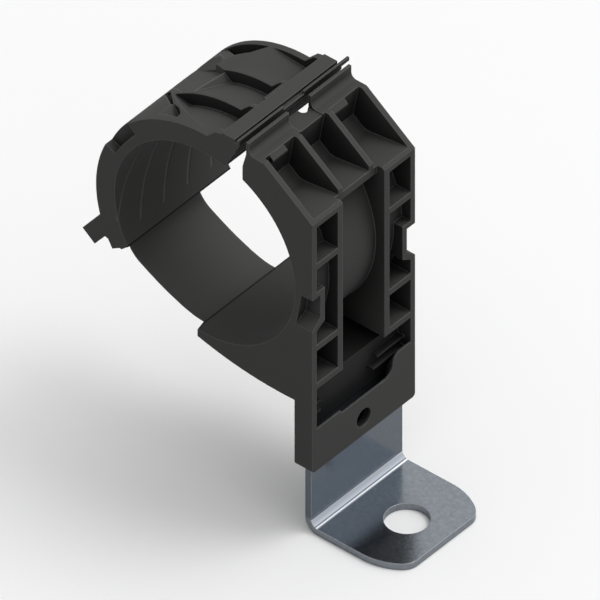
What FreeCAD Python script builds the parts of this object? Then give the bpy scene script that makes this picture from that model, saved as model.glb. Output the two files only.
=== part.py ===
import FreeCAD, Part

import math
import os

# Pipe clip: a moulded cradle on a bent steel foot, with a hinged jaw that closes over the pipe.
# Millimetres. The origin is the centre of the bolt hole on the underside of the foot.
# X points out along the foot, Y runs along the pipe and Z is up.

# Steel bracket
strip_width = 25.0
strip_thickness = 1.4
bend_inner_radius = 1.5
bolt_hole_radius = 4.2
foot_reach = 8.7
foot_corner_radius = 3.5
leg_set_back = 11.6
leg_insert_depth = 7.1
snap_hole_radius = 2.3

# Place of the moulding on the bracket
moulding_base = 15.4
leg_side_clearance = 0.05

# Overall form of the cradle
cradle_width = 28.2
roof_drop = 8.35
roof_angle = 36.7
crown_over_bore = 4.95
gap_face_from_axis = 9.0
gap_face_lean = 0.85
gap_face_lean_height = 3.3
tail_past_axis = 1.4
tail_rise = 0.4
back_plate_height = 14.9
base_corner_radius = 0.7

# Pipe seat
bore_radius = 20.6
ring_front_wall = 4.6
ring_height = 40.2
ring_wall = 2.5
seat_lead_in = 0.6
seat_lead_in_length = 1.5

# Walls and ribs of the cradle
side_wall = 1.15
sleeve_front_wall = 1.55
sleeve_back_wall = 1.1
channel_half_width = 5.75
channel_rib = 1.3
cross_rib = 1.3
cross_rib_heights = (18.85, 27.7, 46.55)
shelf_over_front = 0.5
shelf_thickness = 1.5
shelf_set_back = 1.8
tail_floor = 1.3
roof_rib_place = 4.23
roof_rib = 1.1
crown_depth = 3.25
roof_pocket_back_lean = 1.3
roof_pocket_wall = 1.3
shelf_dip = 1.2
shelf_dip_reach = 9.0
shelf_lift = 0.15
dip_length = 2.2
dip_height = 0.9
dip_bulge = 0.26
catch_block_width = 3.9
catch_block_size = 0.8
catch_block_places = (-9.5, 7.1)
catch_block_drop = 0.2

# Front plate over the sleeve
plate_height = 8.9
plate_side_step = 0.7
plate_low_half_width = 6.0
plate_ear_height = 13.1
plate_ear_curve = 2.0
plate_edge = 0.35
plate_edge_angle = 60.0
snap_hole_height = 4.0
snap_peg_radius = 1.95
snap_peg_reach = 1.0
guide_lug_heights = (11.2, 13.4)
guide_lug_width = 3.0
long_guide_lug_widths = (8.6, 7.4)
guide_lug_thickness = 0.45

# Side recesses
recess_depth = 2.25
recess_bottom = 32.7
recess_top = 40.0
recess_slant = 2.0
recess_reach_top = 2.6
recess_reach_bottom = 3.8

# Catch lips on the crown
lip_height = 2.7
lip_thickness = 0.6
lip_inner_end = 3.0
lip_root_radius = 1.2
crown_dip = 0.35
land_reach = 1.0
land_end = 1.2
notch_width = 1.9
notch_depth = 0.5

# Jaw
jaw_wall = 1.75
jaw_rib_height = 2.55
jaw_flange = 1.3
bay_flats = (0.1, 0.4, 0.4)
bay_angles = (70.0, 130.0)
jaw_angles = (80.0, 212.0)
lower_bay_angles = (160.0, 196.0)
draft_angle = 17.0

# Faces that end the bays of the jaw, each by three points: angle, place across and depth
near_bay_end = ((91.9, 1.44, 0), (117.0, 9.0, 2.7), (113.2, 5.23, 0))
middle_bay_end = ((116.2, 9.9, 0), (113.9, 17.7, 1.0), (112.3, 17.9, 2.3))
far_bay_end = ((106.1, 26.9, 0), (110.0, 18.8, 0), (93.3, 24.0, 1.6))

# Slanted facets over the middle of the jaw: a face by three points, and its border
middle_strip_face = ((120.1, 8.95, 0), (135.4, 13.0, 0), (127.5, 13.0, 0.55))
middle_panel_face = ((117.4, 10.2, 0.2), (137.3, 15.6, 0.4), (113.9, 17.7, 1.0))
middle_border = ((116.2, 9.5), (113.9, 17.7), (124.0, 19.9), (142.7, 22.2), (152.0, 23.5),
                 (152.0, 17.0), (135.4, 13.0), (121.5, 9.5))
rib_flank_face = ((124.0, 19.9, 0.9), (142.7, 22.2, 0.55), (127.6, 22.8, 0))
rib_flank_border = ((122.0, 20.5), (124.0, 19.9), (142.7, 22.2), (152.0, 23.5), (152.0, 25.0),
                    (142.7, 23.9), (127.6, 22.8))
far_strip_face = ((121.4, 21.4, 0), (134.3, 25.0, 0), (126.0, 25.0, 0.6))
far_strip_border = ((118.6, 23.1), (121.4, 21.4), (134.3, 25.0), (136.5, 26.9), (133.5, 26.9))

# Pockets over the middle of the jaw: corners as angle and place across
near_pocket_corners = ((107.3, 1.5), (107.6, 2.6), (109.2, 3.4), (112.5, 4.5), (118.0, 5.6),
                       (118.6, 5.1), (118.4, 1.9))
near_pocket_depth = 2.55
near_pocket_end_angle = 118.5
near_slot_corners = ((118.0, 5.6), (134.5, 11.6), (137.5, 10.9), (118.6, 5.1))
near_slot_depth = 1.9
near_slot_end_angle = 137.0
far_pocket_corners = ((107.0, 26.9), (112.5, 24.1), (118.6, 23.1), (133.5, 26.9))
far_pocket_depth = 2.2
far_pocket_end_angle = 134.6

# Recess in the end face of the near flange
end_recess_angles = (134.5, 156.0)
end_recess_depth = 1.9

# Latch bar at the free end of the jaw
bar_over_crown = 1.95
bar_gap = 0.8
bar_width = 3.0
bar_root_angle = 82.0
bar_lip_height = 0.1
bar_lip_thickness = 0.45
bar_groove_width = 0.55
bar_groove_depth = 0.8
latch_foot_angle = 76.0
latch_face_drop = 1.2
latch_ridge = 0.2
latch_ridge_count = 3
bar_pin_reach = 2.1
bar_pin_size = 0.8
tab_length = 5.6
tab_place = 1.0
tab_drop = 0.5
pad_ends = (-1.5, 4.6)
pad_width = 0.9
pad_drop = 0.6
pad_height = 3.4

# Ramps that carry the flanges and ribs up to the bar
ramp_angles = (88.2, 79.0)
ramp_root_depth = 0.5
ramp_rib = 0.88
ramp_head_reach = 5.5
ramp_head_drop = 0.7
ramp_end_drop = 0.1

# Hinge end of the jaw, with its finger lug
lug_length = 6.6
lug_thickness = 3.6
lug_direction = 231.7
lug_under_length = 3.83
end_face_lean = 0.8
end_face_step = 0.4
end_face_lip = 0.25

# Hinge strap, as height over the bore or over the jaw's outer radius, and angle
strap_width = 19.0
strap_thickness = 1.0
strap_over_bore = ((2.0, 269.2), (3.2, 258.0), (3.15, 234.8))
strap_over_jaw = ((0.7, 216.5), (0.2, 206.8))

# Sizes worked out from the ones above
half_width = cradle_width / 2
front_x = -leg_set_back + leg_side_clearance + sleeve_front_wall
moulding_origin = FreeCAD.Vector(front_x, 0, moulding_base)
ring_outer_radius = bore_radius + ring_wall
ring_set_back = bore_radius + ring_front_wall
gap_face_set_back = ring_set_back - gap_face_from_axis
tail_reach = ring_set_back + tail_past_axis
crown_height = ring_height + bore_radius + crown_over_bore
front_height = crown_height - roof_drop
shelf_top = front_height + shelf_over_front
roof_pocket_back = gap_face_set_back - gap_face_lean - crown_depth
jaw_floor_radius = bore_radius + jaw_wall
jaw_outer_radius = jaw_floor_radius + jaw_rib_height
bar_top = crown_height + bar_over_crown
bar_front_set_back = gap_face_set_back + bar_gap
cell_outer = half_width - side_wall
cell_inner = channel_half_width + channel_rib
sleeve_front = -sleeve_front_wall
sleeve_back = sleeve_front - strip_thickness - 2 * leg_side_clearance
back_face = sleeve_back - sleeve_back_wall
shelf_underside = shelf_top - shelf_thickness
roof_slope = math.tan(math.radians(roof_angle))
beyond = 1.0
far_out = 2 * ring_outer_radius


def vec(x, y, z):
    return FreeCAD.Vector(x, y, z)


def on_ring(radius, angle, y=0.0):
    """Point at a radius and an angle round the pipe axis, turning from +X towards +Z."""
    turn = math.radians(angle)
    return vec(radius * math.cos(turn) - ring_set_back, y, radius * math.sin(turn) + ring_height)


def block(x0, x1, y0, y1, z0, z1):
    return Part.makeBox(x1 - x0, y1 - y0, z1 - z0, vec(x0, y0, z0))


def rod(radius, y0=-far_out, y1=far_out):
    """Round bar on the pipe axis."""
    return Part.makeCylinder(radius, y1 - y0, vec(-ring_set_back, y0, ring_height), vec(0, 1, 0))


def line(a, b):
    return Part.LineSegment(a, b).toShape()


def arc(a, b, c):
    return Part.Arc(a, b, c).toShape()


def closed_lines(points):
    return Part.makePolygon(points + [points[0]]).Edges


def side_prism(edges, y0, y1):
    """Solid from a side-view outline drawn at y = 0, pulled from y0 to y1."""
    face = Part.Face(Part.Wire(edges))
    face.translate(vec(0, y0, 0))
    return face.extrude(vec(0, y1 - y0, 0))


def front_prism(edges, x0, x1):
    """Solid from a front-view outline drawn at x = 0, pulled from x0 to x1."""
    face = Part.Face(Part.Wire(edges))
    face.translate(vec(x0, 0, 0))
    return face.extrude(vec(x1 - x0, 0, 0))


def plan_prism(points, z0, z1):
    """Solid from a plan-view polygon, pulled from z0 to z1."""
    face = Part.Face(Part.makePolygon([vec(x, y, z0) for x, y in points + [points[0]]]))
    return face.extrude(vec(0, 0, z1 - z0))


def mirrored(shape):
    """The shape and its mirror image across the middle plane."""
    return [shape, shape.mirror(vec(0, 0, 0), vec(0, 1, 0))]


def fuse(shapes):
    return shapes[0].multiFuse(shapes[1:]).removeSplitter()


def place(shape):
    """Move a shape from the moulding's own corner to its place above the foot."""
    shape.translate(moulding_origin)
    return shape


# Bracket
def bracket_outline():
    """Side view of the bent strip, in the part's own frame."""
    leg_front = -leg_set_back
    leg_back = leg_front - strip_thickness
    top = moulding_base + leg_insert_depth
    outer = bend_inner_radius + strip_thickness
    centre = vec(leg_front + bend_inner_radius, 0, outer)
    diagonal = math.sqrt(0.5)

    def on_bend(radius):
        return vec(centre.x - radius * diagonal, 0, centre.z - radius * diagonal)

    reach = strip_width
    return [
        line(vec(leg_back, 0, top), vec(leg_back, 0, outer)),
        arc(vec(leg_back, 0, outer), on_bend(outer), vec(centre.x, 0, 0)),
        line(vec(centre.x, 0, 0), vec(reach, 0, 0)),
        line(vec(reach, 0, 0), vec(reach, 0, strip_thickness)),
        line(vec(reach, 0, strip_thickness), vec(centre.x, 0, strip_thickness)),
        arc(vec(centre.x, 0, strip_thickness), on_bend(bend_inner_radius), vec(leg_front, 0, outer)),
        line(vec(leg_front, 0, outer), vec(leg_front, 0, top)),
        line(vec(leg_front, 0, top), vec(leg_back, 0, top)),
    ]


def build_bracket():
    half_strip = strip_width / 2
    strip = side_prism(bracket_outline(), -half_strip, half_strip)
    tall = moulding_base + leg_insert_depth + beyond
    round_end = Part.makeCylinder(half_strip, tall, vec(0, 0, -beyond))
    behind = block(-leg_set_back - strip_thickness, 0, -half_strip, half_strip, -beyond, tall)
    plan = fuse([round_end, behind])
    plan = plan.common(block(-far_out, foot_reach, -far_out, far_out, -far_out, far_out))
    plan = plan.Solids[0]
    corners = [edge for edge in plan.Edges
               if abs(edge.BoundBox.XMin - foot_reach) < 0.01 and edge.BoundBox.YLength < 0.01
               and edge.BoundBox.ZLength > moulding_base]
    plan = plan.makeFillet(foot_corner_radius, corners)
    strip = strip.common(plan)
    bolt_hole = Part.makeCylinder(bolt_hole_radius, 4 * strip_thickness, vec(0, 0, -strip_thickness))
    snap_at = vec(-far_out, 0, moulding_base + snap_hole_height)
    snap_hole = Part.makeCylinder(snap_hole_radius, far_out, snap_at, vec(1, 0, 0))
    return strip.cut(bolt_hole).cut(snap_hole)


# Cradle
def tail_edges(rise):
    """The curved underside of the tail, lifted by a rise."""
    tail_low = vec(-tail_reach, 0, ring_height - ring_outer_radius + tail_rise + rise)
    back_top = vec(back_face, 0, back_plate_height + rise)
    middle = vec((tail_low.x + back_top.x) / 2, 0, back_plate_height + tail_rise + rise)
    return tail_low, middle, back_top


def cradle_outline():
    """Side view of the cradle: front face, roof, crown, seat, tail and back plate."""
    seat_top_angle = math.degrees(math.acos((ring_set_back - gap_face_set_back) / bore_radius))
    seat_tail_angle = -180 + math.degrees(math.acos((tail_reach - ring_set_back) / bore_radius))
    seat_top = on_ring(bore_radius, seat_top_angle)
    seat_tail = on_ring(bore_radius, seat_tail_angle)
    seat_middle = on_ring(bore_radius, (seat_top_angle + seat_tail_angle) / 2)
    tail_low, tail_middle, back_top = tail_edges(0)
    corner = vec(0, 0, 0)
    front_top = vec(0, 0, front_height)
    shoulder = vec((front_height - crown_height) / roof_slope, 0, crown_height)
    crown_back = vec(-gap_face_set_back + gap_face_lean, 0, crown_height)
    lean_start = vec(-gap_face_set_back, 0, crown_height - gap_face_lean_height)
    back_low = vec(back_face, 0, base_corner_radius)
    under_back = vec(back_face + base_corner_radius, 0, 0)
    pull = base_corner_radius * (1 - math.sqrt(0.5))
    return [
        line(corner, front_top),
        line(front_top, shoulder),
        line(shoulder, crown_back),
        line(crown_back, lean_start),
        line(lean_start, seat_top),
        arc(seat_top, seat_middle, seat_tail),
        line(seat_tail, tail_low),
        arc(tail_low, tail_middle, back_top),
        line(back_top, back_low),
        arc(back_low, vec(back_face + pull, 0, pull), under_back),
        line(under_back, corner),
    ]


def seat_lead_in_cut():
    """Cone that widens one end of the bore."""
    at = vec(-ring_set_back, half_width - seat_lead_in_length, ring_height)
    return Part.makeCone(
        bore_radius, bore_radius + seat_lead_in, seat_lead_in_length, at, vec(0, 1, 0))


def plate_opening():
    """Front view of the opening above the front plate, with the ear at its right."""
    step_height = plate_height + plate_side_step
    ear_foot = plate_low_half_width + plate_ear_curve
    middle_height = (plate_height + plate_ear_height) / 2
    ear_top = ear_foot + plate_ear_curve
    bulge = plate_ear_curve * math.sqrt(0.5)
    top = cross_rib_heights[0]
    a = vec(0, -cell_outer, step_height)
    b = vec(0, -plate_low_half_width - plate_side_step / 2, step_height)
    c = vec(0, -plate_low_half_width, plate_height)
    d = vec(0, plate_low_half_width, plate_height)
    d_mid = vec(0, plate_low_half_width + bulge, middle_height - bulge)
    e = vec(0, ear_foot, middle_height)
    e_mid = vec(0, ear_top - bulge, middle_height + bulge)
    f = vec(0, ear_top, plate_ear_height)
    g = vec(0, cell_outer, plate_ear_height)
    h = vec(0, cell_outer, top)
    i = vec(0, -cell_outer, top)
    return [
        line(a, b), line(b, c), line(c, d), arc(d, d_mid, e), arc(e, e_mid, f),
        line(f, g), line(g, h), line(h, i), line(i, a),
    ]


def shelf():
    """Shelf between the roof pockets and the front hollows, dipping towards the ring."""
    points = [vec(beyond, 0, shelf_underside),
              vec(-shelf_dip_reach, 0, shelf_underside - shelf_dip),
              vec(-far_out, 0, shelf_underside - shelf_dip), vec(-far_out, 0, shelf_top),
              vec(beyond, 0, shelf_top)]
    return side_prism(closed_lines(points), -half_width, half_width)


def plate_chamfer():
    """Slope behind the front plate's top edge, which leaves the edge thin."""
    face = Part.Face(Part.Wire(plate_opening()))
    face.translate(vec(-plate_edge, 0, 0))
    reach = sleeve_front_wall - plate_edge
    return face.extrude(vec(-reach, 0, -reach * math.tan(math.radians(plate_edge_angle))))


def front_pockets():
    """Everything that the front of the cradle is hollowed by, behind the front plate and ribs."""
    deep = -tail_reach + ring_wall
    spaces = [front_prism(plate_opening(), deep, beyond)]
    tops = list(cross_rib_heights[1:]) + [shelf_underside]
    for low, high in zip(cross_rib_heights, tops):
        cell = block(deep, beyond, cell_inner, cell_outer, low + cross_rib, high)
        spaces += mirrored(cell)
    spaces.append(block(deep, beyond, -channel_half_width, channel_half_width,
                        plate_ear_height, shelf_underside))
    behind_plate = block(deep, sleeve_front, -cell_outer, cell_outer, plate_height,
                         cross_rib_heights[0])
    spaces += [behind_plate, plate_chamfer()]
    hollow = fuse(spaces).cut(shelf())
    tail_low, middle, back_top = tail_edges(tail_floor)
    floor_front = vec(sleeve_back, 0, back_top.z)
    under = [
        arc(tail_low, middle, back_top),
        line(back_top, floor_front),
        line(floor_front, vec(sleeve_back, 0, 0)),
        line(vec(sleeve_back, 0, 0), vec(-tail_reach, 0, 0)),
        line(vec(-tail_reach, 0, 0), tail_low),
    ]
    return hollow.cut(rod(ring_outer_radius)).cut(side_prism(under, -far_out, far_out))


def sleeve():
    """Slot that the steel leg is pushed up into."""
    half_slot = strip_width / 2 + leg_side_clearance
    return block(sleeve_back, sleeve_front, -half_slot, half_slot, -beyond,
                 plate_height + plate_side_step)


def roof_pocket_outline():
    """Side view of a roof pocket: the shelf dips towards the ring, and climbs over it."""
    high = crown_height + beyond
    ring = bore_radius + roof_pocket_wall
    low = shelf_top - shelf_dip
    dip_end_angle = math.degrees(math.asin((low + dip_height - ring_height) / ring))
    dip_end = on_ring(ring, dip_end_angle)
    dip_start = vec(dip_end.x + dip_length, 0, low)
    chord = dip_end - dip_start
    dip_middle = dip_start + chord * 0.5 + vec(-chord.z, 0, chord.x).normalize() * dip_bulge
    back_low = -roof_pocket_back - roof_pocket_back_lean
    climb_end_angle = math.degrees(math.acos((ring_set_back + back_low) / ring))
    climb_middle = on_ring(ring, (dip_end_angle + climb_end_angle) / 2)
    climb_end = on_ring(ring, climb_end_angle)
    back_top = vec(-roof_pocket_back, 0, crown_height)
    front_low = vec(beyond, 0, shelf_top + shelf_lift)
    return [
        line(front_low, dip_start),
        arc(dip_start, dip_middle, dip_end),
        arc(dip_end, climb_middle, climb_end),
        line(climb_end, back_top),
        line(back_top, vec(-roof_pocket_back, 0, high)),
        line(vec(-roof_pocket_back, 0, high), vec(beyond, 0, high)),
        line(vec(beyond, 0, high), front_low),
    ]


def roof_pockets():
    """Three pockets under the roof line, with the shelf and the ring wall as their floor."""
    high = crown_height + beyond
    ends = (-cell_outer, -roof_rib_place, roof_rib_place, cell_outer)
    half_rib = roof_rib / 2
    pockets = []
    for number in range(3):
        y0 = ends[number] + (half_rib if number > 0 else 0)
        y1 = ends[number + 1] - (half_rib if number < 2 else 0)
        pockets.append(side_prism(roof_pocket_outline(), y0, y1))
    pockets.append(block(-shelf_set_back, beyond, -channel_half_width, channel_half_width,
                         shelf_underside - beyond, high))
    return pockets


def recess(grow=0.0):
    """Side recess at the front corner, or the wall round it when it is grown."""
    y_in = half_width - recess_depth - grow
    y_out = half_width + beyond
    slant = recess_slant
    low = recess_bottom - grow
    high = recess_top + grow
    front = closed_lines([
        vec(0, half_width, low), vec(0, y_in, low + slant), vec(0, y_in, high),
        vec(0, y_out, high), vec(0, y_out, low)])
    side = closed_lines([
        vec(beyond, 0, high), vec(-recess_reach_top - grow, 0, high),
        vec(-recess_reach_bottom - grow, 0, low), vec(beyond, 0, low)])
    shape = front_prism(front, -far_out, beyond)
    return shape.common(side_prism(side, 0, far_out))


def recess_wall():
    """Wall that jogs inward round a side recess."""
    inside = block(-far_out, 0, 0, half_width, 0, front_height)
    return recess(side_wall).common(inside)


def catch_lip():
    """Upright lip on the crown, with a rounded root in front of it."""
    back = -gap_face_set_back + gap_face_lean
    front = back + lip_thickness
    top = crown_height + lip_height
    root_top = vec(front, 0, crown_height + lip_root_radius)
    root_front = vec(front + lip_root_radius, 0, crown_height)
    pull = lip_root_radius * (1 - math.sqrt(0.5))
    edges = [
        line(vec(back, 0, crown_height - beyond), vec(back, 0, top)),
        line(vec(back, 0, top), vec(front, 0, top)),
        line(vec(front, 0, top), root_top),
        arc(root_top, vec(front + pull, 0, crown_height + pull), root_front),
        line(root_front, vec(root_front.x, 0, crown_height - beyond)),
        line(vec(root_front.x, 0, crown_height - beyond), vec(back, 0, crown_height - beyond)),
    ]
    return side_prism(edges, lip_inner_end, half_width)


def crown_land():
    """Ledge that reaches back between the catch lips."""
    back = -gap_face_set_back + gap_face_lean
    return block(back - land_reach, back + beyond, -lip_inner_end, land_end,
                 crown_height - gap_face_lean_height, crown_height - crown_dip)


def crown_notch():
    """Round-ended notch beside the ledge."""
    back = -gap_face_set_back + gap_face_lean
    radius = notch_width / 2
    middle = land_end + radius
    centre = vec(back + notch_depth - radius, middle, crown_height - gap_face_lean_height)
    round_end = Part.makeCylinder(radius, far_out, centre)
    way = block(-far_out, centre.x, middle - radius, middle + radius, centre.z, far_out + centre.z)
    return fuse([round_end, way])


def rounded_base():
    """Front view of the moulding with its two lower corners rounded."""
    r = base_corner_radius
    w = half_width
    high = far_out + crown_height
    pull = r * (1 - math.sqrt(0.5))
    return [
        line(vec(0, -w + r, 0), vec(0, w - r, 0)),
        arc(vec(0, w - r, 0), vec(0, w - pull, pull), vec(0, w, r)),
        line(vec(0, w, r), vec(0, w, high)),
        line(vec(0, w, high), vec(0, -w, high)),
        line(vec(0, -w, high), vec(0, -w, r)),
        arc(vec(0, -w, r), vec(0, -w + pull, pull), vec(0, -w + r, 0)),
    ]


def catch_block(middle):
    """Small sloped block under the crown at the back of a roof pocket."""
    back = -roof_pocket_back
    top = crown_height - catch_block_drop
    root = back - roof_pocket_back_lean / 2
    points = [
        vec(root, 0, top), vec(back, 0, top),
        vec(back + catch_block_size, 0, top - catch_block_size),
        vec(back + catch_block_size, 0, top - 1.5 * catch_block_size),
        vec(root, 0, top - 2.5 * catch_block_size)]
    half = catch_block_width / 2
    return side_prism(closed_lines(points), middle - half, middle + half)


def guide_lugs():
    """Small ledges on the side walls just above the steel leg."""
    lugs = []
    for height, long_width in zip(guide_lug_heights, long_guide_lug_widths):
        top = height + guide_lug_thickness
        lugs.append(block(sleeve_back, sleeve_front, -cell_outer, guide_lug_width - cell_outer,
                          height, top))
        lugs.append(block(sleeve_back, sleeve_front, cell_outer - long_width, cell_outer,
                          height, top))
    return lugs


def build_cradle():
    body = side_prism(cradle_outline(), -half_width, half_width)
    body = body.cut(mirrored(seat_lead_in_cut()))
    body = body.cut([front_pockets(), sleeve()] + roof_pockets())
    dip = block(-far_out, -roof_pocket_back, -lip_inner_end, lip_inner_end,
                crown_height - crown_dip, crown_height + beyond)
    body = body.cut(dip)
    added = mirrored(recess_wall()) + mirrored(catch_lip()) + guide_lugs()
    added += [catch_block(middle) for middle in catch_block_places]
    peg = Part.makeCylinder(snap_peg_radius, snap_peg_reach + beyond,
                            vec(sleeve_back - beyond, 0, snap_hole_height), vec(1, 0, 0))
    added += [peg, crown_land()]
    body = fuse([body] + added)
    hole = Part.makeCylinder(snap_peg_radius, sleeve_front_wall + beyond,
                             vec(sleeve_front, 0, snap_hole_height), vec(1, 0, 0))
    body = body.cut(mirrored(recess()) + [hole, crown_notch()])
    return place(body.common(front_prism(rounded_base(), -far_out, beyond)))


# Jaw
def sector(section, start, end):
    """Turn a section, drawn at angle 0 as (y, radius) points, round the pipe axis."""
    points = [vec(radius - ring_set_back, y, ring_height) for y, radius in section]
    face = Part.Face(Part.makePolygon(points + [points[0]]))
    centre = vec(-ring_set_back, 0, ring_height)
    axis = vec(0, -1, 0)
    face.rotate(centre, axis, start)
    return face.revolve(centre, axis, end - start)


def across(place_from_near_face):
    """Place across the moulding, measured from its near end face."""
    return place_from_near_face - half_width


def rib_lines():
    """Places across the jaw where its flange and its two ribs begin, and the far flange."""
    half_rib = roof_rib / 2
    return (-half_width, -roof_rib_place - half_rib, roof_rib_place - half_rib,
            half_width - jaw_flange, half_width)


def ring_sector(start, end):
    """Full-width piece of the ring between the bore and the outer radius."""
    section = [(-half_width, bore_radius), (-half_width, jaw_outer_radius),
               (half_width, jaw_outer_radius), (half_width, bore_radius)]
    return sector(section, start, end)


def falling_bay(number):
    """Hollow whose floor falls from one rib's top to the next rib's foot."""
    start = rib_lines()[number] + bay_flats[number] + (jaw_flange if number == 0 else 0)
    end = rib_lines()[number + 1]
    high = jaw_outer_radius + beyond
    section = [(start, jaw_outer_radius), (end, jaw_floor_radius), (end, high), (start, high)]
    return sector(section, *bay_angles)


def above_face(a, b, c):
    """Everything above the plane through three points of the jaw."""
    points = []
    for angle, place_from_near_face, depth in (a, b, c):
        points.append(on_ring(jaw_outer_radius - depth, angle, across(place_from_near_face)))
    normal = (points[1] - points[0]).cross(points[2] - points[0])
    if normal.z < 0:
        normal = -normal
    return Part.makeCylinder(far_out, far_out, points[0], normal)


def top_bays():
    ends = (near_bay_end, middle_bay_end, far_bay_end)
    return [falling_bay(number).common(above_face(*end)) for number, end in enumerate(ends)]


def over(border):
    """Upright prism over a border drawn on the outer surface of the jaw."""
    points = [(on_ring(jaw_outer_radius, angle).x, across(y)) for angle, y in border]
    return plan_prism(points, ring_height, ring_height + far_out)


def facets():
    middle = over(middle_border)
    return [
        middle.common(above_face(*middle_strip_face)),
        middle.common(above_face(*middle_panel_face)),
        over(rib_flank_border).common(above_face(*rib_flank_face)),
        over(far_strip_border).common(above_face(*far_strip_face)),
    ]


def top_pocket(corners, depth, end_angle):
    """Pocket drawn on the outer surface, with its far end sloped the way the mould draws."""
    hollow = over(corners).cut(rod(jaw_outer_radius - depth))
    end = on_ring(jaw_outer_radius, end_angle)
    fall = far_out * math.tan(math.radians(draft_angle))
    high = ring_height + far_out
    outline = [end, vec(end.x + far_out, 0, end.z - fall), vec(end.x + far_out, 0, high),
               vec(end.x, 0, high)]
    return hollow.common(side_prism(closed_lines(outline), -half_width, half_width))


def lower_bay(number):
    """One lower bay, with a level floor between square ribs."""
    widths = (jaw_flange, roof_rib, roof_rib)
    start = rib_lines()[number] + widths[number]
    return level_hollow(start, rib_lines()[number + 1], jaw_floor_radius, lower_bay_angles)


def level_hollow(start, end, floor_radius, angles):
    high = jaw_outer_radius + beyond
    section = [(start, floor_radius), (end, floor_radius), (end, high), (start, high)]
    return sector(section, *angles)


def end_recess():
    """Recess in the near end face, with the ring's full radius behind it."""
    return level_hollow(-half_width - beyond, across(end_recess_depth), jaw_floor_radius,
                        end_recess_angles)


def latch_outline():
    """Side view of the free end: ridged latch face, thin lip and flat bar top."""
    foot = on_ring(bore_radius, latch_foot_angle)
    head = vec(-bar_front_set_back, 0, bar_top - latch_face_drop)
    step = (head - foot) * (1 / (2 * latch_ridge_count + 1))
    out = vec(step.z, 0, -step.x).normalize() * latch_ridge
    points = [foot]
    for number in range(latch_ridge_count):
        base = foot + step * (2 * number + 1)
        points += [base, base + step * 0.5 - out, base + step]
    points.append(head)
    lip_top = bar_top + bar_lip_height
    lip_back = -bar_front_set_back - bar_lip_thickness
    bar_front = lip_back - bar_groove_width
    points += [
        vec(-bar_front_set_back, 0, lip_top),
        vec(lip_back, 0, lip_top),
        vec(lip_back, 0, bar_top - bar_groove_depth),
        vec(bar_front, 0, bar_top - bar_groove_depth),
        vec(bar_front, 0, bar_top),
        vec(bar_front - bar_width, 0, bar_top),
        on_ring(jaw_floor_radius, bar_root_angle),
        on_ring(bore_radius, bar_root_angle)]
    return closed_lines(points)


def latch_ramp(y0, y1):
    """Rib or flange that climbs from the jaw's outer radius to the bar."""
    foot_angle, end_angle = ramp_angles
    root_radius = bore_radius + ramp_root_depth
    points = [on_ring(jaw_outer_radius, foot_angle),
              vec(-bar_front_set_back - ramp_head_reach, 0, bar_top - ramp_head_drop),
              vec(-bar_front_set_back - bar_width, 0, bar_top - ramp_end_drop),
              on_ring(root_radius, end_angle), on_ring(root_radius, foot_angle)]
    return side_prism(closed_lines(points), y0, y1)


def latch_bar():
    bar = side_prism(latch_outline(), -half_width, half_width)
    starts = rib_lines()
    widths = (jaw_flange, ramp_rib, ramp_rib, jaw_flange)
    pieces = [bar.cut(rod(bore_radius))]
    pieces += [latch_ramp(y, y + width) for y, width in zip(starts, widths)]
    pin_low = bar_top + bar_lip_height - bar_pin_size
    pieces.append(block(-bar_front_set_back - bar_lip_thickness, -bar_front_set_back,
                        half_width - beyond, half_width + bar_pin_reach,
                        pin_low, pin_low + bar_pin_size))
    bar_back = -bar_front_set_back - bar_lip_thickness - bar_groove_width - bar_width
    pad_back = bar_back - pad_width
    pieces.append(block(pad_back, pad_back + pad_width + beyond, pad_ends[0], pad_ends[1],
                        bar_top - pad_drop - pad_height, bar_top - pad_drop))
    return pieces


def hinge_end():
    """Thick end face that the strap runs into, with the finger lug below it."""
    top = on_ring(jaw_outer_radius, lower_bay_angles[1])
    turn = math.radians(lug_direction)
    along = vec(math.cos(turn), 0, math.sin(turn))
    aside = vec(-along.z, 0, along.x)
    tip_top = top + along * lug_length
    tip_low = tip_top + aside * lug_thickness
    root_low = tip_low - along * lug_under_length
    end_angle = jaw_angles[1]
    end_low = on_ring(jaw_floor_radius + end_face_lip, end_angle + end_face_lean)
    end_in = on_ring(bore_radius + end_face_step, end_angle)
    points = [top, tip_top, tip_low, root_low, end_low, end_in,
              on_ring(bore_radius + end_face_step, lower_bay_angles[1])]
    return side_prism(closed_lines(points), -half_width, half_width).cut(rod(bore_radius))


def build_jaw():
    jaw = ring_sector(*jaw_angles)
    hollows = top_bays() + facets() + [lower_bay(number) for number in range(3)]
    hollows.append(end_recess())
    hollows.append(top_pocket(near_pocket_corners, near_pocket_depth, near_pocket_end_angle))
    hollows.append(top_pocket(near_slot_corners, near_slot_depth, near_slot_end_angle))
    hollows.append(top_pocket(far_pocket_corners, far_pocket_depth, far_pocket_end_angle))
    jaw = jaw.cut(hollows)
    jaw = fuse([jaw, hinge_end()] + latch_bar())
    tab = block(-bar_front_set_back - bar_lip_thickness, -bar_front_set_back + beyond,
                tab_place - tab_length / 2, tab_place + tab_length / 2,
                bar_top - tab_drop, bar_top + far_out)
    return place(jaw.cut(tab))


# Strap
def build_strap(cradle, jaw):
    """Thin strap from the tail of the seat to the end of the jaw, along its mid-thickness."""
    points = [on_ring(bore_radius + height, angle) for height, angle in strap_over_bore]
    points += [on_ring(jaw_outer_radius + height, angle) for height, angle in strap_over_jaw]
    curve = Part.BSplineCurve()
    curve.interpolate(points)
    edge = curve.toShape()
    face = edge.extrude(vec(0, strap_width, 0))
    face.translate(vec(0, -strap_width / 2, 0))
    half = strap_thickness / 2
    upper = face.makeOffsetShape(half, 0.001, fill=True)
    lower = face.makeOffsetShape(-half, 0.001, fill=True)
    return place(fuse([upper, lower])).cut([cradle, jaw])


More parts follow.
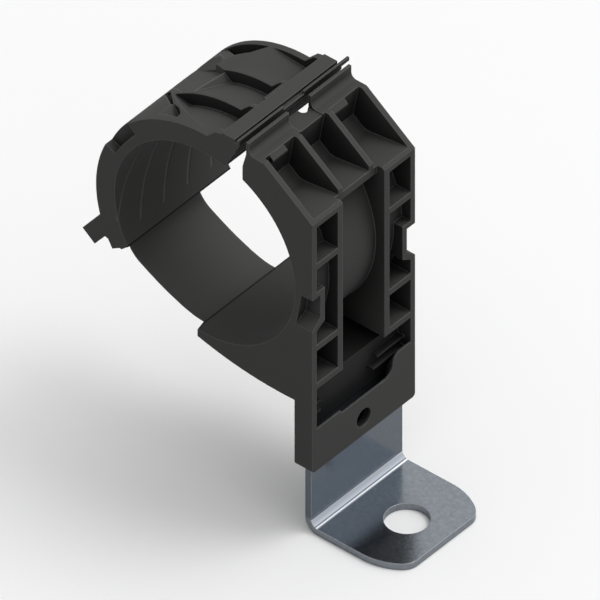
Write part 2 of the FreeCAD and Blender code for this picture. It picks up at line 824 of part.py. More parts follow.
def main():
    os.makedirs("parts", exist_ok=True)
    bracket = build_bracket()
    cradle = build_cradle()
    jaw = build_jaw()
    strap = build_strap(cradle, jaw)
    bracket.exportStep("parts/steel_bracket.step")
    cradle.exportStep("parts/clip_cradle.step")
    jaw.exportStep("parts/upper_jaw.step")
    strap.exportStep("parts/hinge_strap.step")
    for shape in (bracket, cradle, jaw, strap):
        box = shape.BoundBox
        print(len(shape.Solids), "solid", shape.isValid(), round(shape.Volume, 1),
              [round(v, 2) for v in (box.XMin, box.XMax, box.YMin, box.YMax, box.ZMin, box.ZMax)])


main()
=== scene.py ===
# %% [markdown]
# ## The clip and its frame
# This clip holds a pipe on a steel foot. The moulded cradle, the jaw and the bent foot come in as
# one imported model, which is the frame that everything here is fitted to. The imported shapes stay
# as they are, because their sizes are the real ones, and this script gives them their finishes,
# the strap that bends, the fine grooves, the light and the camera.

import math

import bpy
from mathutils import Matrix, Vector


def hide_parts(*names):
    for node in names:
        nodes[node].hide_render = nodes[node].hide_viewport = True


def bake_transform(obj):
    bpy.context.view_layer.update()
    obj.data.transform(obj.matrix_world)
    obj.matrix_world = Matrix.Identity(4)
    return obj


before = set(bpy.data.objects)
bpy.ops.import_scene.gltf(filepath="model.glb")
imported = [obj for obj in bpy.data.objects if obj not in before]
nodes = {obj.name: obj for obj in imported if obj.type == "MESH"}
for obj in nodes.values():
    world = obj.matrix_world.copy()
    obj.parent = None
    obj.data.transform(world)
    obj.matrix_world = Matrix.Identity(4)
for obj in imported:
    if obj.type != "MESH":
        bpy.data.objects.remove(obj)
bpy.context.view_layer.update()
MM = 0.001

# %% [markdown]
# ## Surface effects that both materials share
# Moulded plastic and plated steel are never one flat colour. Both have a slow unevenness, from
# the flow in the mould or from the zinc bath, and a much finer texture. One node group makes
# both as plain masks, so that each material can use them at its own scale. The masks come from
# object coordinates, because those stay on the surface when the clip is turned.

# %% Node helpers
def add_node(tree, kind, **values):
    node = tree.nodes.new(kind)
    for name, value in values.items():
        setattr(node, name, value)
    return node


def join(tree, source, target):
    tree.links.new(source, target)


print("node helpers:", add_node.__name__, "and", join.__name__)

# %% Surface variation group
def surface_variation():
    tree = bpy.data.node_groups.new("surface variation", "ShaderNodeTree")
    face = tree.interface
    face.new_socket("Blotch scale", in_out="INPUT", socket_type="NodeSocketFloat")
    face.new_socket("Grain scale", in_out="INPUT", socket_type="NodeSocketFloat")
    face.new_socket("Blotch", in_out="OUTPUT", socket_type="NodeSocketFloat")
    face.new_socket("Grain", in_out="OUTPUT", socket_type="NodeSocketFloat")
    inside = add_node(tree, "NodeGroupInput")
    outside = add_node(tree, "NodeGroupOutput")
    place = add_node(tree, "ShaderNodeTexCoord")
    blotch = add_node(tree, "ShaderNodeTexNoise")
    blotch.inputs["Detail"].default_value = 3.0
    grain = add_node(tree, "ShaderNodeTexNoise")
    grain.inputs["Detail"].default_value = 6.0
    grain.inputs["Roughness"].default_value = 0.65
    pairs = ((blotch, "Blotch scale", "Blotch"), (grain, "Grain scale", "Grain"))
    for texture, scale, result in pairs:
        join(tree, place.outputs["Object"], texture.inputs["Vector"])
        join(tree, inside.outputs[scale], texture.inputs["Scale"])
        join(tree, texture.outputs["Fac"], outside.inputs[result])
    return tree


variation = surface_variation()
print("shared group:", variation.name)

# %% [markdown]
# ## Painted highlight on the edges
# The edges of a moulding are a little rounded, and the materials paint them lighter than the faces.
# A Bevel node rounds the normal near each edge, and where that normal leaves the true one there
# is an edge. The group gives the rounded normal and a mask of the edges.

# %% Edge group
AGREES_ON_FACE = 0.99
AGREES_ON_EDGE = 0.75


def edge_softening():
    tree = bpy.data.node_groups.new("edge softening", "ShaderNodeTree")
    face = tree.interface
    face.new_socket("Radius", in_out="INPUT", socket_type="NodeSocketFloat")
    face.new_socket("Edge", in_out="OUTPUT", socket_type="NodeSocketFloat")
    face.new_socket("Normal", in_out="OUTPUT", socket_type="NodeSocketVector")
    inside = add_node(tree, "NodeGroupInput")
    outside = add_node(tree, "NodeGroupOutput")
    bevel = add_node(tree, "ShaderNodeBevel", samples=6)
    join(tree, inside.outputs["Radius"], bevel.inputs["Radius"])
    true_normal = add_node(tree, "ShaderNodeNewGeometry")
    agree = add_node(tree, "ShaderNodeVectorMath", operation="DOT_PRODUCT")
    join(tree, bevel.outputs["Normal"], agree.inputs[0])
    join(tree, true_normal.outputs["Normal"], agree.inputs[1])
    spread = add_node(tree, "ShaderNodeMapRange")
    spread.inputs["From Min"].default_value = AGREES_ON_FACE
    spread.inputs["From Max"].default_value = AGREES_ON_EDGE
    join(tree, agree.outputs["Value"], spread.inputs["Value"])
    join(tree, spread.outputs["Result"], outside.inputs["Edge"])
    join(tree, bevel.outputs["Normal"], outside.inputs["Normal"])
    return tree


softening = edge_softening()
print("shared group:", softening.name)

# %% [markdown]
# ## Fine grooves inside the jaw
# The bore of the jaw has five fine slanted grooves that grip the pipe. They are far finer than
# the walls, so they are drawn by the surface instead of being cut. The group works out the angle
# round the pipe and the place along it from the object coordinates. Each groove is a line where
# the place grows a little as the angle falls, so all five come from one repeating ramp. The group
# gives a mask that is one in a groove, and only on the bore itself, and the jaw colours it a light
# grey as a painted highlight. A second mask is a thin line of painted shade at the end of the bore,
# where the strap goes into the jaw.

# %% Arithmetic helper
def maths(tree, operation, first, second=None, third=None, clamp=False):
    node = add_node(tree, "ShaderNodeMath", operation=operation, use_clamp=clamp)
    for socket, value in zip(node.inputs, (first, second, third)):
        if value is None:
            continue
        if isinstance(value, (int, float)):
            socket.default_value = value
        else:
            join(tree, value, socket)
    return node.outputs["Value"]


print("arithmetic helper:", maths.__name__)

# %% Bore mask
PIPE_AXIS = (-35.2 * MM, 0.0, 55.6 * MM)
BORE_LIMIT = 21.0 * MM


def bore_mask(tree, split):
    along_x = maths(tree, "SUBTRACT", split.outputs["X"], PIPE_AXIS[0])
    along_z = maths(tree, "SUBTRACT", split.outputs["Z"], PIPE_AXIS[2])
    upward = maths(tree, "MULTIPLY", along_z, along_z)
    radius = maths(tree, "SQRT", maths(tree, "MULTIPLY_ADD", along_x, along_x, upward))
    return along_x, along_z, maths(tree, "LESS_THAN", radius, BORE_LIMIT)


print("surfaces within", round(BORE_LIMIT / MM, 1), "mm of the axis count as bore")

# %% Groove group
NEAR_FACE = -14.1 * MM
GROOVE_PITCH = 6.5 * MM
FIRST_GROOVE = -1.6 * MM
GROOVE_START = math.radians(205)
GROOVE_RISE = 0.169 * MM / math.radians(1)
GROOVE_HALF_WIDTH = 0.5 * MM
START_SHARPNESS = 30.0
SLIT_WIDTH = 0.3 * MM
JAW_END = math.radians(212.0)


def fine_grooves():
    tree = bpy.data.node_groups.new("fine grooves", "ShaderNodeTree")
    tree.interface.new_socket("Groove", in_out="OUTPUT", socket_type="NodeSocketFloat")
    tree.interface.new_socket("Slit", in_out="OUTPUT", socket_type="NodeSocketFloat")
    outside = add_node(tree, "NodeGroupOutput")
    place = add_node(tree, "ShaderNodeTexCoord")
    split = add_node(tree, "ShaderNodeSeparateXYZ")
    join(tree, place.outputs["Object"], split.inputs[0])
    along_x, along_z, on_bore = bore_mask(tree, split)
    flipped_x = maths(tree, "MULTIPLY", along_x, -1.0)
    flipped_z = maths(tree, "MULTIPLY", along_z, -1.0)
    angle = maths(tree, "ADD", maths(tree, "ARCTAN2", flipped_z, flipped_x), math.pi)
    turned = maths(tree, "SUBTRACT", GROOVE_START, angle)
    depth = maths(tree, "SUBTRACT", split.outputs["Y"], NEAR_FACE + FIRST_GROOVE)
    level = maths(tree, "SUBTRACT", depth, maths(tree, "MULTIPLY", turned, GROOVE_RISE))
    step = maths(tree, "PINGPONG", level, GROOVE_PITCH / 2)
    shape = maths(tree, "DIVIDE", step, GROOVE_HALF_WIDTH)
    profile = maths(tree, "SUBTRACT", 1.0, shape, clamp=True)
    started = maths(tree, "MULTIPLY", turned, START_SHARPNESS, clamp=True)
    first = maths(tree, "MULTIPLY_ADD", level, 1.0 / GROOVE_HALF_WIDTH, 1.0, clamp=True)
    kept = maths(tree, "MULTIPLY", maths(tree, "MULTIPLY", profile, started), first)
    join(tree, maths(tree, "MULTIPLY", kept, on_bore), outside.inputs["Groove"])
    # a thin line of painted shade where the strap goes into the jaw
    at_end = maths(tree, "GREATER_THAN", angle, JAW_END - SLIT_WIDTH / BORE_LIMIT)
    join(tree, maths(tree, "MULTIPLY", at_end, on_bore), outside.inputs["Slit"])
    return tree


grooves = fine_grooves()
print("groove pitch in mm:", round(GROOVE_PITCH / MM, 2))

# %% [markdown]
# ## Painted shade in pockets and cells
# Upright walls deep in a pocket or cell get painted shade: their colour is darkened towards black
# where little light would reach them. An Ambient Occlusion node tells how open each spot is. The
# group keeps its answer where the surface stands upright. Floors get this painted shade only in
# the deepest and narrowest cells.

# %% Painted hollow shade group
OPEN_WALL, CLOSED_WALL = 0.90, 0.58
OPEN_FLOOR, CLOSED_FLOOR = 0.50, 0.22
UPRIGHT_LIMIT = 1.8


def painted_hollow_shade():
    tree = bpy.data.node_groups.new("hollow walls", "ShaderNodeTree")
    face = tree.interface
    face.new_socket("Reach", in_out="INPUT", socket_type="NodeSocketFloat")
    face.new_socket("Hollow", in_out="OUTPUT", socket_type="NodeSocketFloat")
    inside = add_node(tree, "NodeGroupInput")
    outside = add_node(tree, "NodeGroupOutput")
    openness = add_node(tree, "ShaderNodeAmbientOcclusion", samples=6)
    join(tree, inside.outputs["Reach"], openness.inputs["Distance"])
    masks = []
    for when_open, when_closed in ((OPEN_WALL, CLOSED_WALL), (OPEN_FLOOR, CLOSED_FLOOR)):
        spread = add_node(tree, "ShaderNodeMapRange")
        spread.inputs["From Min"].default_value = when_open
        spread.inputs["From Max"].default_value = when_closed
        join(tree, openness.outputs["AO"], spread.inputs["Value"])
        masks.append(spread.outputs["Result"])
    place = add_node(tree, "ShaderNodeTexCoord")
    facing = add_node(tree, "ShaderNodeSeparateXYZ")
    join(tree, place.outputs["Normal"], facing.inputs[0])
    slope = maths(tree, "MULTIPLY", facing.outputs["Z"], UPRIGHT_LIMIT)
    upright = maths(tree, "SUBTRACT", 1.0, slope, clamp=True)
    wall = maths(tree, "MULTIPLY", masks[0], upright)
    join(tree, maths(tree, "MAXIMUM", wall, masks[1]), outside.inputs["Hollow"])
    return tree


hollow_shade_group = painted_hollow_shade()
print("shared group:", hollow_shade_group.name)

# %% [markdown]
# ## Painted shade in the well behind the front plate
# The well that the steel leg is pushed into gets painted shade: its inner faces are coloured almost
# black, as little light reaches them. The mask is a box in object coordinates. It also asks which
# way the surface faces, because the outside of the same walls has the ordinary finish. A second
# mask is a thin line of painted shade at the end of the seat, where the strap comes out.

# %% Well group
WELL_FRONT = -10.5 * MM
WELL_HALF_WIDTH = 12.8 * MM
WELL_TOP = 34.1 * MM
SEAT_END = -36.6 * MM
TURNED_AWAY = -0.3


def painted_well_shade():
    tree = bpy.data.node_groups.new("dark well", "ShaderNodeTree")
    tree.interface.new_socket("Well", in_out="OUTPUT", socket_type="NodeSocketFloat")
    tree.interface.new_socket("Slit", in_out="OUTPUT", socket_type="NodeSocketFloat")
    outside = add_node(tree, "NodeGroupOutput")
    place = add_node(tree, "ShaderNodeTexCoord")
    split = add_node(tree, "ShaderNodeSeparateXYZ")
    join(tree, place.outputs["Object"], split.inputs[0])
    facing = add_node(tree, "ShaderNodeSeparateXYZ")
    join(tree, place.outputs["Normal"], facing.inputs[0])
    across = maths(tree, "ABSOLUTE", split.outputs["Y"])
    tests = [
        maths(tree, "LESS_THAN", split.outputs["X"], WELL_FRONT),
        maths(tree, "LESS_THAN", across, WELL_HALF_WIDTH),
        maths(tree, "LESS_THAN", split.outputs["Z"], WELL_TOP),
        maths(tree, "GREATER_THAN", facing.outputs["X"], TURNED_AWAY),
        maths(tree, "GREATER_THAN", facing.outputs["Z"], TURNED_AWAY)]
    mask = tests[0]
    for test in tests[1:]:
        mask = maths(tree, "MULTIPLY", mask, test)
    join(tree, mask, outside.inputs["Well"])
    # a thin line of painted shade where the strap comes out of the seat
    at_end = maths(tree, "LESS_THAN", split.outputs["X"], SEAT_END + SLIT_WIDTH)
    join(tree, maths(tree, "MULTIPLY", at_end, bore_mask(tree, split)[2]), outside.inputs["Slit"])
    return tree


well = painted_well_shade()
print("well top in mm:", round(WELL_TOP / MM, 1))

# %% [markdown]
# ## Black moulded plastic
# The cradle, the strap and the jaw are one black moulding with a fine, even texture and a dull
# shine. The colour is kept just above black, because real carbon-filled plastic still returns
# a few percent of the light, and the shine on the upward faces does the rest. The strap gets a
# copy of the colour that is 1.4 times lighter, painted light that makes it read paler than the
# rest.

# %% Material helpers
NOISE_LOW, NOISE_HIGH = 0.3, 0.7


def group_node(tree, group, **values):
    node = add_node(tree, "ShaderNodeGroup")
    node.node_tree = group
    for name, value in values.items():
        node.inputs[name.replace("_", " ")].default_value = value
    return node


def two_colours(tree, mask, low, high):
    mix = add_node(tree, "ShaderNodeMix", data_type="RGBA")
    mix.inputs[6].default_value = (*low, 1)
    mix.inputs[7].default_value = (*high, 1)
    join(tree, mask, mix.inputs[0])
    return mix.outputs[2]


def colour_over(tree, mask, under, colour):
    mix = add_node(tree, "ShaderNodeMix", data_type="RGBA")
    mix.inputs[7].default_value = (*colour, 1)
    join(tree, mask, mix.inputs[0])
    join(tree, under, mix.inputs[6])
    return mix.outputs[2]


def spread_values(tree, mask, low, high):
    spread = add_node(tree, "ShaderNodeMapRange")
    spread.inputs["From Min"].default_value = NOISE_LOW
    spread.inputs["From Max"].default_value = NOISE_HIGH
    spread.inputs["To Min"].default_value = low
    spread.inputs["To Max"].default_value = high
    join(tree, mask, spread.inputs["Value"])
    return spread.outputs["Result"]


def bumped(tree, height, normal, strength, distance, invert=False):
    bump = add_node(tree, "ShaderNodeBump", invert=invert)
    bump.inputs["Strength"].default_value = strength
    bump.inputs["Distance"].default_value = distance
    join(tree, height, bump.inputs["Height"])
    join(tree, normal, bump.inputs["Normal"])
    return bump.outputs["Normal"]


print("material helpers:", group_node.__name__, colour_over.__name__, bumped.__name__)

# %% Black plastic material
BLACKS = ((0.0475, 0.0466, 0.0454), (0.0565, 0.0555, 0.0541))
# painted shade: the colour that walls deep in pockets and cells are darkened towards
HOLLOW_SHADE_BLACK = (0.0165, 0.0168, 0.0163)
# painted highlight: the lighter colour painted along the edges of the moulding
EDGE_HIGHLIGHT_BLACK = (0.165, 0.164, 0.162)
# painted shade: the near-black line at the ends of the bore and the seat, where the strap goes in
SLIT_SHADE_BLACK = (0.004, 0.004, 0.004)
MARK_STRENGTH = 0.8
PLASTIC_ROUGHNESS = (0.68, 0.76)


def black_moulding(name, marks=None, mark_colour=None, relief=0.0, paleness=1.0):
    material = bpy.data.materials.new(name)
    material.use_nodes = True
    tree = material.node_tree
    shader = tree.nodes["Principled BSDF"]
    texture = group_node(tree, variation, Blotch_scale=90.0, Grain_scale=3500.0)
    edges = group_node(tree, softening, Radius=0.3 * MM)
    hollow = group_node(tree, hollow_shade_group, Reach=8 * MM)
    low, high = [[paleness * part for part in colour] for colour in BLACKS]
    colour = two_colours(tree, texture.outputs["Blotch"], low, high)
    # painted shade: the Ambient Occlusion mask darkens walls in pockets and cells almost to black
    colour = colour_over(tree, hollow.outputs["Hollow"], colour, HOLLOW_SHADE_BLACK)
    # painted highlight: edges, hollow ones too, are coloured lighter than the faces
    colour = colour_over(tree, edges.outputs["Edge"], colour, EDGE_HIGHLIGHT_BLACK)
    normal = bumped(tree, texture.outputs["Grain"], edges.outputs["Normal"], 0.12, 0.04 * MM)
    if marks:
        marking = group_node(tree, marks)
        mark = marking.outputs[0]
        share = maths(tree, "MULTIPLY", mark, MARK_STRENGTH)
        colour = colour_over(tree, share, colour, mark_colour)
        # painted shade: a thin line at the end of the bore is coloured almost black
        colour = colour_over(tree, marking.outputs["Slit"], colour, SLIT_SHADE_BLACK)
    if relief:
        normal = bumped(tree, mark, normal, 1.0, relief, invert=True)
    join(tree, colour, shader.inputs["Base Color"])
    roughness = spread_values(tree, texture.outputs["Blotch"], *PLASTIC_ROUGHNESS)
    join(tree, roughness, shader.inputs["Roughness"])
    join(tree, normal, shader.inputs["Normal"])
    shader.inputs["Specular IOR Level"].default_value = 0.30
    return material


print("plain black runs from", BLACKS[0][0], "to", BLACKS[1][0])

# %% Three plastics
# painted highlight: the light grey that the grooves are coloured
GROOVE_HIGHLIGHT_GREY = (0.14, 0.138, 0.135)
# painted shade: the near-black colour of the well behind the front plate
WELL_SHADE_BLACK = (0.006, 0.006, 0.0058)

# painted light: the strap's copy of the moulding is 1.4 times lighter than the rest
strap_plastic = black_moulding("black moulding of the strap", paleness=1.4)
# the jaw's grooves get a painted highlight in light grey, besides their relief bump
jaw_plastic = black_moulding("black moulding of the jaw", grooves, GROOVE_HIGHLIGHT_GREY, 0.4 * MM)
# the cradle's well gets painted shade, coloured almost black
cradle_plastic = black_moulding("black moulding of the cradle", well, WELL_SHADE_BLACK)
print("materials:", strap_plastic.name, ",", jaw_plastic.name, ",", cradle_plastic.name)

# %% [markdown]
# ## Zinc-plated steel
# The foot is cut from plated sheet. The plating is a blue-grey metal with a soft mottle, and its
# shine changes from crystal to crystal. The inside of the bend gets a painted highlight: an even
# bright band with a thin dark and a thin white line, so a colour ramp follows the turn of the
# bend. The leg gets painted shade, so it is darker than the foot.

# %% Bend and leg group
BEND_CENTRE = (-10.1 * MM, 2.9 * MM)
BEND_REACH = 1.6 * MM
LEG_FACE = -11.55 * MM


def bent_sheet():
    tree = bpy.data.node_groups.new("bent sheet", "ShaderNodeTree")
    face = tree.interface
    face.new_socket("Bend", in_out="OUTPUT", socket_type="NodeSocketFloat")
    face.new_socket("Leg", in_out="OUTPUT", socket_type="NodeSocketFloat")
    face.new_socket("Round", in_out="OUTPUT", socket_type="NodeSocketFloat")
    outside = add_node(tree, "NodeGroupOutput")
    place = add_node(tree, "ShaderNodeTexCoord")
    split = add_node(tree, "ShaderNodeSeparateXYZ")
    join(tree, place.outputs["Object"], split.inputs[0])
    back = maths(tree, "SUBTRACT", split.outputs["X"], BEND_CENTRE[0])
    down = maths(tree, "SUBTRACT", split.outputs["Z"], BEND_CENTRE[1])
    square = maths(tree, "MULTIPLY_ADD", back, back, maths(tree, "MULTIPLY", down, down))
    near = maths(tree, "LESS_THAN", maths(tree, "SQRT", square), BEND_REACH)
    behind = maths(tree, "LESS_THAN", back, 0.0)
    below = maths(tree, "LESS_THAN", down, 0.0)
    bend = maths(tree, "MULTIPLY", near, maths(tree, "MULTIPLY", behind, below))
    leg = maths(tree, "MULTIPLY", maths(tree, "LESS_THAN", split.outputs["X"], LEG_FACE),
                maths(tree, "GREATER_THAN", down, 0.0))
    flipped_back = maths(tree, "MULTIPLY", back, -1.0)
    turned = maths(tree, "ARCTAN2", maths(tree, "MULTIPLY", down, -1.0), flipped_back)
    join(tree, maths(tree, "DIVIDE", turned, math.pi / 2), outside.inputs["Round"])
    join(tree, bend, outside.inputs["Bend"])
    join(tree, leg, outside.inputs["Leg"])
    return tree


sheet_marks = bent_sheet()
print("bend centre in mm:", [round(v / MM, 2) for v in BEND_CENTRE])

# %% Painted highlight lines along the bend
BEND_HIGHLIGHT_LINES = (
    (0.00, (0.10, 0.12, 0.15)), (0.04, (0.10, 0.12, 0.15)), (0.09, (0.92, 0.96, 1.0)),
    (0.35, (0.60, 0.64, 0.70)), (0.66, (0.42, 0.45, 0.50)), (0.71, (0.10, 0.11, 0.14)),
    (0.75, (0.10, 0.11, 0.14)), (0.80, (0.95, 0.97, 1.0)), (0.88, (0.95, 0.97, 1.0)),
    (0.94, (0.30, 0.33, 0.37)))


def bend_highlight_ramp(tree, turn_of_bend):
    ramp = add_node(tree, "ShaderNodeValToRGB")
    stops = ramp.color_ramp.elements
    for stop, (place, colour) in zip(stops, (BEND_HIGHLIGHT_LINES[0], BEND_HIGHLIGHT_LINES[-1])):
        stop.position, stop.color = place, (*colour, 1)
    for place, colour in BEND_HIGHLIGHT_LINES[1:-1]:
        stops.new(place).color = (*colour, 1)
    join(tree, turn_of_bend, ramp.inputs[0])
    return ramp.outputs["Color"]


print("stops along the bend:", len(BEND_HIGHLIGHT_LINES))

# %% Plated steel material
DARK_ZINC, LIGHT_ZINC = (0.22, 0.25, 0.285), (0.42, 0.45, 0.485)
# painted shade: the darker zinc colour of the leg
LEG_SHADE_ZINC, LEG_SHADE_STRENGTH = (0.15, 0.175, 0.21), 0.72
# painted highlight: the bright colour painted along the edges of the steel
EDGE_HIGHLIGHT_ZINC = (0.75, 0.79, 0.82)
ZINC_ROUGHNESS, BEND_ROUGHNESS = (0.13, 0.24), 0.55


def zinc_steel():
    material = bpy.data.materials.new("zinc plated steel")
    material.use_nodes = True
    tree = material.node_tree
    shader = tree.nodes["Principled BSDF"]
    texture = group_node(tree, variation, Blotch_scale=1300.0, Grain_scale=2600.0)
    edges = group_node(tree, softening, Radius=0.12 * MM)
    marks = group_node(tree, sheet_marks)
    # painted shade: the leg is coloured darker than the foot
    leg = maths(tree, "MULTIPLY", marks.outputs["Leg"], LEG_SHADE_STRENGTH)
    colour = two_colours(tree, texture.outputs["Blotch"], DARK_ZINC, LIGHT_ZINC)
    colour = colour_over(tree, leg, colour, LEG_SHADE_ZINC)
    # painted highlight: the bend is coloured as a bright band with a thin dark and a thin white
    # line
    bend_highlight_mix = add_node(tree, "ShaderNodeMix", data_type="RGBA")
    join(tree, marks.outputs["Bend"], bend_highlight_mix.inputs[0])
    join(tree, colour, bend_highlight_mix.inputs[6])
    join(tree, bend_highlight_ramp(tree, marks.outputs["Round"]), bend_highlight_mix.inputs[7])
    # painted highlight: edges of the steel are coloured a bright zinc
    colour = colour_over(tree, edges.outputs["Edge"], bend_highlight_mix.outputs[2], EDGE_HIGHLIGHT_ZINC)
    join(tree, colour, shader.inputs["Base Color"])
    shader.inputs["Metallic"].default_value = 1.0
    grained = spread_values(tree, texture.outputs["Grain"], *ZINC_ROUGHNESS)
    rubbed = maths(tree, "MULTIPLY", marks.outputs["Bend"], BEND_ROUGHNESS)
    join(tree, maths(tree, "MAXIMUM", grained, rubbed), shader.inputs["Roughness"])
    normal = bumped(tree, texture.outputs["Grain"], edges.outputs["Normal"], 0.10, 0.03 * MM)
    join(tree, normal, shader.inputs["Normal"])
    return material


steel = zinc_steel()
print("material:", steel.name)

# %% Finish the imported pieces
def finish_with(thing, material):
    thing.data.materials.clear()
    thing.data.materials.append(material)


finishes = {"clip_cradle": cradle_plastic, "upper_jaw": jaw_plastic, "steel_bracket": steel}
for piece, finish in finishes.items():
    finish_with(nodes[piece], finish)
    print(piece, "has", finish.name)

# %% [markdown]
# ## The strap that bends
# A thin strap joins the tail of the seat to the jaw, and it is the hinge of the clip. The packed
# strap is one stiff solid, so it is shown by a mesh of its own, with enough cross lines to bend
# smoothly. Each pair in its line is a radius in millimetres and an angle round the pipe. The
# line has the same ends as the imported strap. Between them it bows out by up to 0.8 mm more,
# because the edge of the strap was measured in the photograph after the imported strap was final.

# %% Strap line
RING = Vector(PIPE_AXIS)
LINE_STEPS = 5
STRAP_LINE = (
    (22.6, 269.2), (23.4, 264), (23.8, 259), (24.0, 250), (24.07, 245), (24.27, 240),
    (24.49, 236), (24.80, 231.5), (25.22, 227), (25.82, 221.5), (25.85, 216), (25.1, 206.8))


def on_ring(radius, angle):
    turn = math.radians(angle)
    return RING + Vector((radius * math.cos(turn), 0, radius * math.sin(turn))) * MM


def smooth_line(points, steps):
    curve = bpy.data.curves.new("strap line", "CURVE")
    curve.dimensions = "3D"
    spline = curve.splines.new("BEZIER")
    spline.bezier_points.add(len(points) - 1)
    for place, point in zip(spline.bezier_points, points):
        place.co = point
        place.handle_left_type = place.handle_right_type = "AUTO"
    curve.resolution_u = steps
    line = bpy.data.objects.new("strap line", curve)
    mesh = bpy.data.meshes.new_from_object(line)
    result = [v.co.copy() for v in mesh.vertices]
    bpy.data.objects.remove(line)
    return result


strap_centre = smooth_line([on_ring(r, a) for r, a in STRAP_LINE], LINE_STEPS)
print("strap line points:", len(strap_centre))

# %% Strap mesh
STRAP_WIDTH, STRAP_THICKNESS = 19 * MM, 1.0 * MM
THIN_EDGE = 0.6


def strap_mesh(line, width, thickness):
    across = (-0.5, -0.47, 0.47, 0.5)
    verts = []
    for number, point in enumerate(line):
        before = line[max(number - 1, 0)]
        after = line[min(number + 1, len(line) - 1)]
        along = (after - before).normalized()
        up = Vector((-along.z, 0, along.x))
        for side in (1, -1):
            for share in across:
                edge = 1.0 if abs(share) < 0.5 else THIN_EDGE
                lift = up * (side * edge * thickness / 2)
                verts.append(point + lift + Vector((0, share * width, 0)))
    ring = len(across) * 2
    loop = [0, 1, 2, 3, 7, 6, 5, 4]
    faces = []
    for row in range(len(line) - 1):
        here, there = row * ring, (row + 1) * ring
        for k in range(ring):
            a, b = loop[k], loop[(k + 1) % ring]
            faces.append((here + a, here + b, there + b, there + a))
    last = (len(line) - 1) * ring
    faces.append(tuple(loop[::-1]))
    faces.append(tuple(last + k for k in loop))
    mesh = bpy.data.meshes.new("flexible strap")
    mesh.from_pydata(verts, [], faces)
    mesh.validate()
    mesh.update()
    return mesh


print("strap in mm:", round(STRAP_WIDTH / MM, 1), "by", round(STRAP_THICKNESS / MM, 1))

# %% The strap in place
flat_strap = strap_mesh(strap_centre, STRAP_WIDTH, STRAP_THICKNESS)
strap = bpy.data.objects.new("flexible_strap", flat_strap)
bpy.context.scene.collection.objects.link(strap)
for polygon in strap.data.polygons:
    polygon.use_smooth = True
finish_with(strap, strap_plastic)
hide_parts("hinge_strap")
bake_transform(strap)
print("strap faces:", len(strap.data.polygons))

# %% [markdown]
# ## Floor and light
# The clip stands on a plain white sheet. Most of the light comes from the world, which is
# brightest nearly overhead and fades towards the horizon, so the tops of the black walls stand
# out from their sides. One small lamp far away adds a faint shadow. A large lamp close by would
# hide the bright sky behind it. The camera sees the sheet and the world at a pale colour of
# their own, and mirror-like surfaces show a share of that colour. So the background is pale
# without another lamp.

# %% Backdrop share
MIRRORED_SHARE = 0.3


def backdrop_share(tree):
    ray = add_node(tree, "ShaderNodeLightPath")
    camera_ray, glossy_ray = ray.outputs["Is Camera Ray"], ray.outputs["Is Glossy Ray"]
    straight = maths(tree, "ADD", camera_ray, ray.outputs["Is Transmission Ray"])
    return maths(tree, "MULTIPLY_ADD", glossy_ray, MIRRORED_SHARE, straight, clamp=True)


print("share of the backdrop in mirrors:", MIRRORED_SHARE)

# %% Floor
PALE_SHEET = ((0.965, 0.965, 0.965), (0.98, 0.98, 0.98))
SHADE_OF_BOUNCE = (0.45, 0.45, 0.45)


def studio_floor():
    bpy.ops.mesh.primitive_plane_add(size=4, location=(0, 0, -0.0001))
    floor = bpy.context.object
    floor.name = "studio_floor"
    material = bpy.data.materials.new("white sheet")
    material.use_nodes = True
    tree = material.node_tree
    shader = tree.nodes["Principled BSDF"]
    shader.inputs["Roughness"].default_value = 0.9
    shader.inputs["Specular IOR Level"].default_value = 0.1
    paper = add_node(tree, "ShaderNodeTexNoise")
    paper.inputs["Scale"].default_value = 40.0
    tone = two_colours(tree, paper.outputs["Fac"], *PALE_SHEET)
    sheet = add_node(tree, "ShaderNodeMix", data_type="RGBA")
    join(tree, backdrop_share(tree), sheet.inputs[0])
    sheet.inputs[6].default_value = (*SHADE_OF_BOUNCE, 1)
    join(tree, tone, sheet.inputs[7])
    join(tree, sheet.outputs[2], shader.inputs["Base Color"])
    floor.data.materials.append(material)
    return floor


floor = studio_floor()
print("floor:", floor.name)

# %% World
LEVEL_LIGHT = 0.22
ZENITH_LIGHT = 1.76
BACKDROP = 0.93
BRIGHTEST_SIDE = (0.22, 0.30, 1.0)
FOCUS = 3.0


def studio_world():
    world = bpy.data.worlds.new("pale studio")
    bpy.context.scene.world = world
    world.use_nodes = True
    tree = world.node_tree
    shader = tree.nodes["Background"]
    place = add_node(tree, "ShaderNodeTexCoord")
    toward = add_node(tree, "ShaderNodeVectorMath", operation="DOT_PRODUCT")
    toward.inputs[1].default_value = Vector(BRIGHTEST_SIDE).normalized()
    join(tree, place.outputs["Generated"], toward.inputs[0])
    height = add_node(tree, "ShaderNodeMath", operation="MAXIMUM")
    join(tree, toward.outputs["Value"], height.inputs[0])
    narrowed = add_node(tree, "ShaderNodeMath", operation="POWER")
    narrowed.inputs[1].default_value = FOCUS
    join(tree, height.outputs["Value"], narrowed.inputs[0])
    light = add_node(tree, "ShaderNodeMapRange")
    light.inputs["To Min"].default_value = LEVEL_LIGHT
    light.inputs["To Max"].default_value = ZENITH_LIGHT
    join(tree, narrowed.outputs["Value"], light.inputs["Value"])
    seen = add_node(tree, "ShaderNodeMix", data_type="FLOAT")
    join(tree, backdrop_share(tree), seen.inputs[0])
    join(tree, light.outputs["Result"], seen.inputs[2])
    seen.inputs[3].default_value = BACKDROP
    shader.inputs["Color"].default_value = (1, 1, 1, 1)
    join(tree, seen.outputs[0], shader.inputs["Strength"])
    return world


print("world:", studio_world().name)

# %% Lamp
LAMP_TARGET = Vector((-30.0, 0.0, 40.0)) * MM


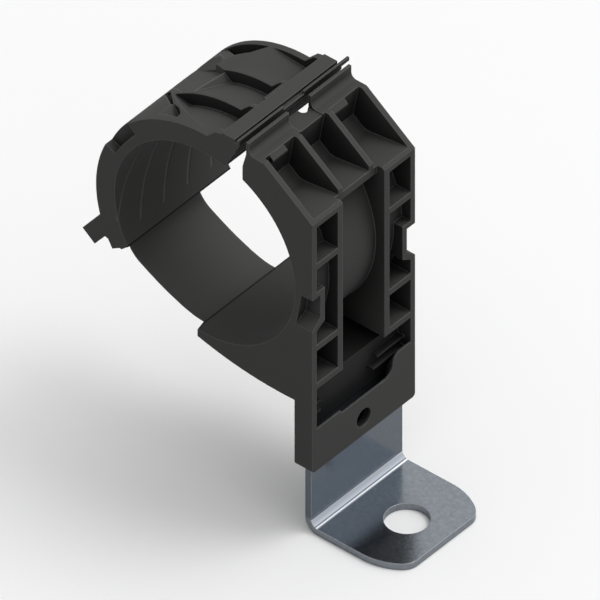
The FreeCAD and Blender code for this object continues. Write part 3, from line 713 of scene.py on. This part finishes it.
def area_lamp(name, direction, distance, size, power):
    lamp = bpy.data.lights.new(name, "AREA")
    lamp.shape = "DISK"
    lamp.size = size
    lamp.energy = power
    thing = bpy.data.objects.new(name, lamp)
    aim = Vector(direction).normalized()
    thing.location = LAMP_TARGET + aim * distance
    thing.rotation_euler = aim.to_track_quat("Z", "Y").to_euler()
    bpy.context.scene.collection.objects.link(thing)
    return thing


lamp = area_lamp("overhead lamp", (0.40, 0.35, 1.0), distance=1.5, size=0.6, power=4.4)
print("lamp at", [round(v, 2) for v in lamp.location], "m")

# %% [markdown]
# ## Camera
# The photograph has no perspective: edges that are parallel on the clip are parallel in the
# picture. So the camera is orthographic, turned 40 degrees round from the end face and looking
# 40 degrees down. One corner of the moulding was found in the photograph, and the camera is
# moved until that corner falls on the same pixel.

# %% Camera
PICTURE_SIDE = 600
PIXELS_PER_MM = 5.65
AZIMUTH, ELEVATION = math.radians(40.13), math.radians(40.19)
CORNER_ON_CLIP = Vector((-10.0, -14.1, 15.4)) * MM
CORNER_IN_PICTURE = (312.4, 474.0)

camera_data = bpy.data.cameras.new("photo camera")
camera_data.type = "ORTHO"
camera_data.ortho_scale = PICTURE_SIDE / PIXELS_PER_MM * MM
camera = bpy.data.objects.new("photo camera", camera_data)
level = math.cos(ELEVATION)
back = Vector((math.sin(AZIMUTH) * level, -math.cos(AZIMUTH) * level, math.sin(ELEVATION)))
right = Vector((math.cos(AZIMUTH), math.sin(AZIMUTH), 0))
up = back.cross(right)
pixel = MM / PIXELS_PER_MM
shift_right = right * (PICTURE_SIDE / 2 - CORNER_IN_PICTURE[0]) * pixel
shift_up = up * (CORNER_IN_PICTURE[1] - PICTURE_SIDE / 2) * pixel
aim = CORNER_ON_CLIP + shift_right + shift_up
camera.location = aim + back * 0.5
camera.rotation_euler = back.to_track_quat("Z", "Y").to_euler()
bpy.context.scene.collection.objects.link(camera)
bpy.context.scene.camera = camera
print("camera aims at", [round(v / MM, 1) for v in aim])

# %% [markdown]
# ## Last things
# The picture uses the plain Standard view, so that colours come out as they are written.

# %% View
bpy.context.scene.view_settings.view_transform = "Standard"
